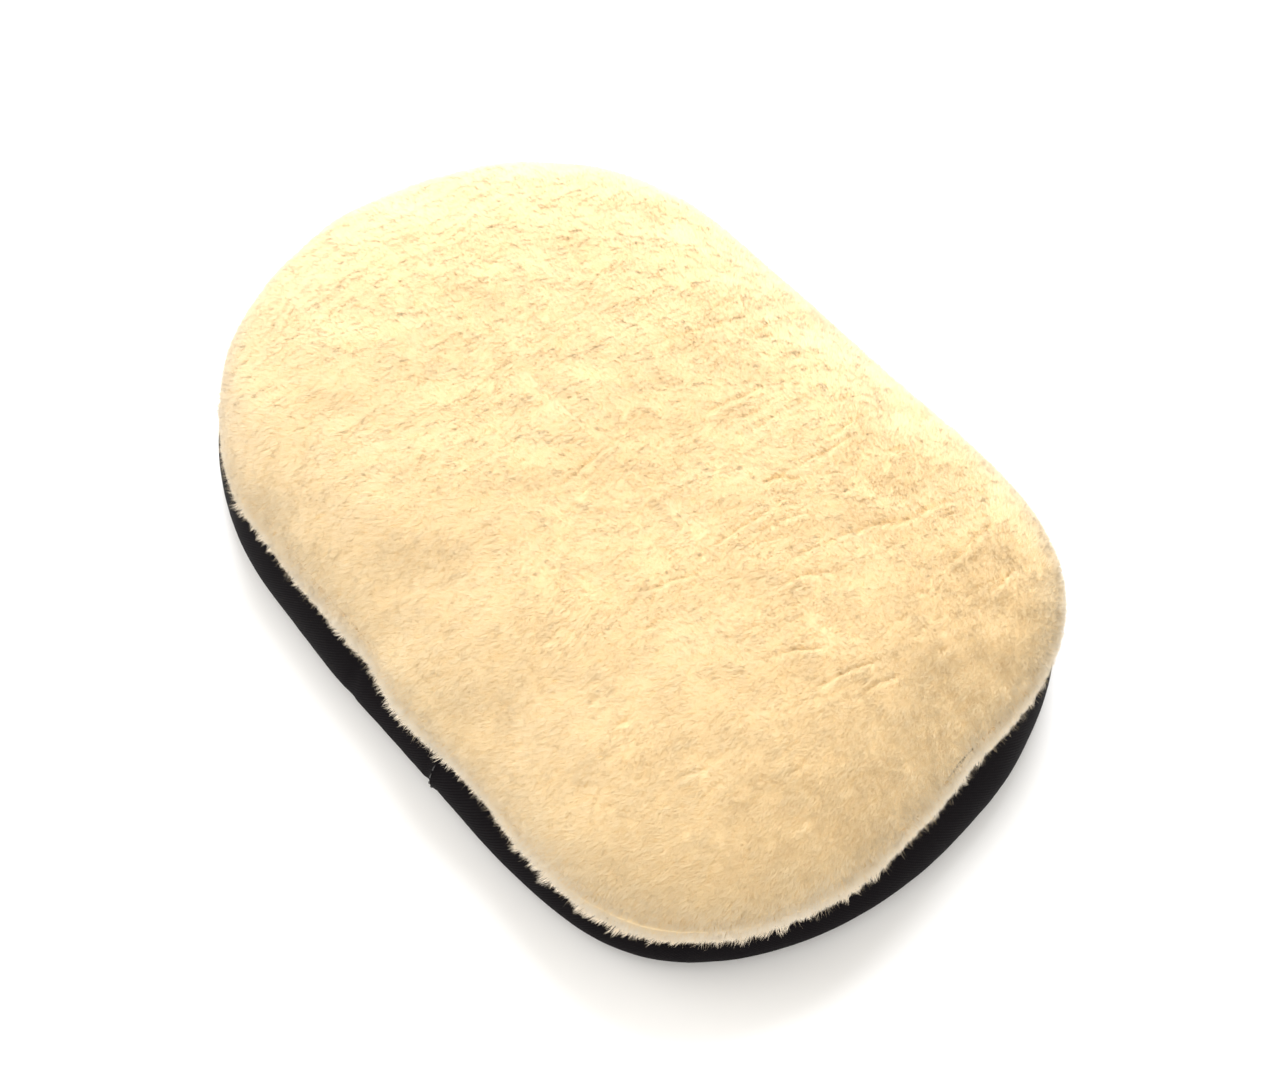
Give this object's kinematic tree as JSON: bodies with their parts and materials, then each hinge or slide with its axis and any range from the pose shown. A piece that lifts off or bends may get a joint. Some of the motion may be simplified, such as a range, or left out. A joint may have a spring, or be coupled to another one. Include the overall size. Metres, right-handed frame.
{
  "type": "wash mitt",
  "caption": "Oval hand wash mitt with a thick wool pile on a foam pad, a black fabric wall and back, and an elastic mouth across the back for the hand.",
  "frame": {"origin": "middle of the footprint, on the surface that the mitt's back lies on", "axes": "+X towards the fingertip end, +Y towards the left long side, +Z out of the wool pile"},
  "size_m": [0.24, 0.1636, 0.044],
  "materials": {
    "wool": "dense soft cream wool pile",
    "backing": "knitted cream backing",
    "foam": "open-cell foam, matte",
    "lining": "smooth dark lining",
    "black_fabric": "matte black woven fabric with a slight sheen",
    "black_tape": "ribbed black tape",
    "elastic": "ribbed black elastic",
    "cream_thread": "cream sewing thread",
    "black_thread": "black sewing thread"
  },
  "bodies": {
    "mitt": {"wool_pile": "wool", "fleece_backing": "backing", "foam_pad": "foam", "palm_lining": "lining", "side_gusset": "black_fabric", "upper_seam_binding": "black_tape", "lower_seam_binding": "black_tape", "fleece_seam_thread": "cream_thread", "back_seam_thread": "black_thread", "gusset_join_thread": "black_thread", "heel_panel": "black_fabric", "heel_hem": "black_fabric", "heel_elastic": "elastic", "heel_hem_thread": "black_thread", "mouth_bartack_left": "black_thread", "mouth_bartack_right": "black_thread"},
    "pocket": {"pocket_panel": "black_fabric", "pocket_hem": "black_fabric", "pocket_elastic": "elastic", "pocket_hem_thread": "black_thread"}
  },
  "joints": [
    {"name": "pocket_opening", "type": "hinge", "parent": "mitt", "child": "pocket", "pos_m": [0.1143, 0, 0], "axis": [0, -1, 0], "range_deg": [0, 14], "stiffness_Nm_per_rad": 0.3, "springref_deg": -5.73}
  ]
}
